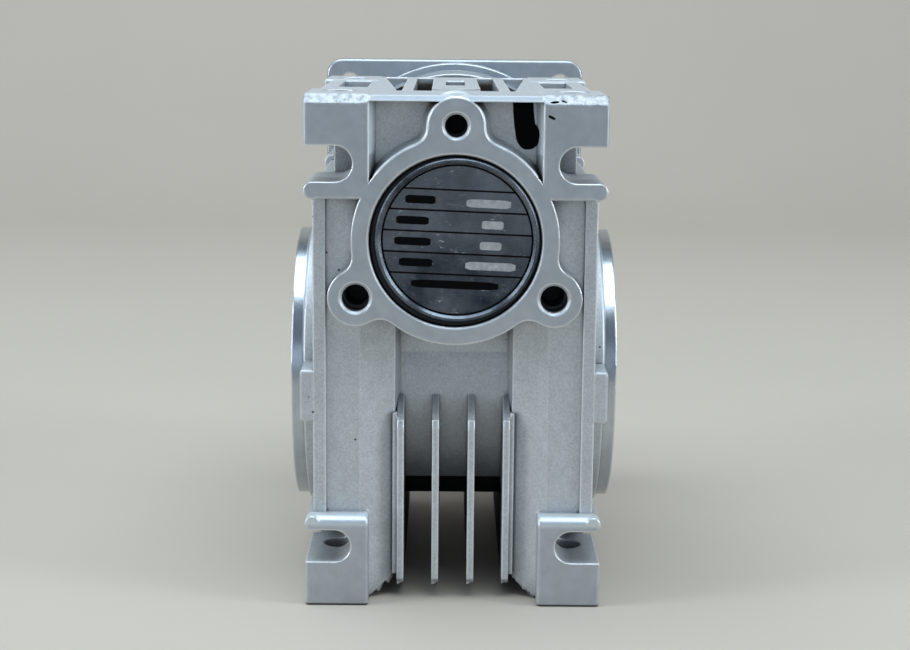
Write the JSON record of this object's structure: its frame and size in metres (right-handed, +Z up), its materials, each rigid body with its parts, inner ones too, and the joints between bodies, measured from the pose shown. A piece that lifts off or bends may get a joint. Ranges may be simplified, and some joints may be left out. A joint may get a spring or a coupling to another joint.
{
  "type": "worm gearbox",
  "caption": "Right-angle worm reducer in a cast case with feet, top lugs, cooling fins, a hollow output shaft and a square motor flange.",
  "frame": {"origin": "centre of the hollow output shaft's bore", "axes": "+X along the output axis towards the side cover, +Y along the worm axis towards the motor flange, +Z up"},
  "size_m": [0.063, 0.108, 0.1],
  "materials": {
    "cast_aluminium": "shot-blasted die casting with machined faces",
    "blackened_steel": "black oxide",
    "black_rubber": "moulded nitrile rubber",
    "gasket_board": "fibre gasket board",
    "name_plate": "dark printed metal plate with a bright rim",
    "spring_steel": "phosphated spring steel",
    "bronze": "cut tin bronze",
    "cast_iron": "turned cast iron",
    "ground_steel": "case-hardened and ground",
    "bearing_steel": "ground bearing steel",
    "cage_steel": "pressed steel sheet"
  },
  "bodies": {
    "case": {"housing": "cast_aluminium", "side_cover": "cast_aluminium", "motor_flange": "cast_aluminium", "side_cover_screws": "blackened_steel", "motor_flange_screws": "blackened_steel", "side_cover_o_ring": "black_rubber", "motor_flange_gasket": "gasket_board", "end_cap": "black_rubber", "nameplate": "name_plate", "blind_end_circlip": "spring_steel", "motor_end_circlip": "spring_steel", "worm_oil_seal": "black_rubber", "worm_seal_spring": "spring_steel", "output_oil_seal_left": "black_rubber", "output_oil_seal_right": "black_rubber", "output_seal_spring_left": "spring_steel", "output_seal_spring_right": "spring_steel", "blind_end_bearing_outer_ring": "bearing_steel", "motor_end_bearing_outer_ring": "bearing_steel", "left_output_bearing_outer_ring": "bearing_steel", "right_output_bearing_outer_ring": "bearing_steel"},
    "output": {"output_shaft": "cast_iron", "wheel_rim": "bronze", "left_output_bearing_inner_ring": "bearing_steel", "right_output_bearing_inner_ring": "bearing_steel"},
    "worm": {"worm_shaft": "ground_steel", "blind_end_bearing_inner_ring": "bearing_steel", "motor_end_bearing_inner_ring": "bearing_steel"},
    "blind_end_ball_set": {"blind_end_bearing_balls": "bearing_steel", "blind_end_bearing_cage": "cage_steel"},
    "motor_end_ball_set": {"motor_end_bearing_balls": "bearing_steel", "motor_end_bearing_cage": "cage_steel"},
    "left_output_ball_set": {"left_output_bearing_balls": "bearing_steel", "left_output_bearing_cage": "cage_steel"},
    "right_output_ball_set": {"right_output_bearing_balls": "bearing_steel", "right_output_bearing_cage": "cage_steel"}
  },
  "joints": [
    {"name": "output_spin", "type": "hinge", "parent": "case", "child": "output", "pos_m": [0, 0, 0], "axis": [1, 0, 0], "continuous": true},
    {"name": "worm_spin", "type": "hinge", "parent": "case", "child": "worm", "pos_m": [0, 0, 0.03], "axis": [0, 1, 0], "continuous": true},
    {"name": "blind_end_balls_spin", "type": "hinge", "parent": "case", "child": "blind_end_ball_set", "pos_m": [0, 0, 0.03], "axis": [0, 1, 0], "continuous": true},
    {"name": "motor_end_balls_spin", "type": "hinge", "parent": "case", "child": "motor_end_ball_set", "pos_m": [0, 0, 0.03], "axis": [0, 1, 0], "continuous": true},
    {"name": "left_output_balls_spin", "type": "hinge", "parent": "case", "child": "left_output_ball_set", "pos_m": [0, 0, 0], "axis": [1, 0, 0], "continuous": true},
    {"name": "right_output_balls_spin", "type": "hinge", "parent": "case", "child": "right_output_ball_set", "pos_m": [0, 0, 0], "axis": [1, 0, 0], "continuous": true}
  ],
  "couplings": [
    {"joint": "worm_spin", "follows": "output_spin", "ratio": 10},
    {"joint": "blind_end_balls_spin", "follows": "output_spin", "ratio": 3.6818},
    {"joint": "motor_end_balls_spin", "follows": "output_spin", "ratio": 4.0877},
    {"joint": "left_output_balls_spin", "follows": "output_spin", "ratio": 0.40833},
    {"joint": "right_output_balls_spin", "follows": "output_spin", "ratio": 0.40833}
  ]
}
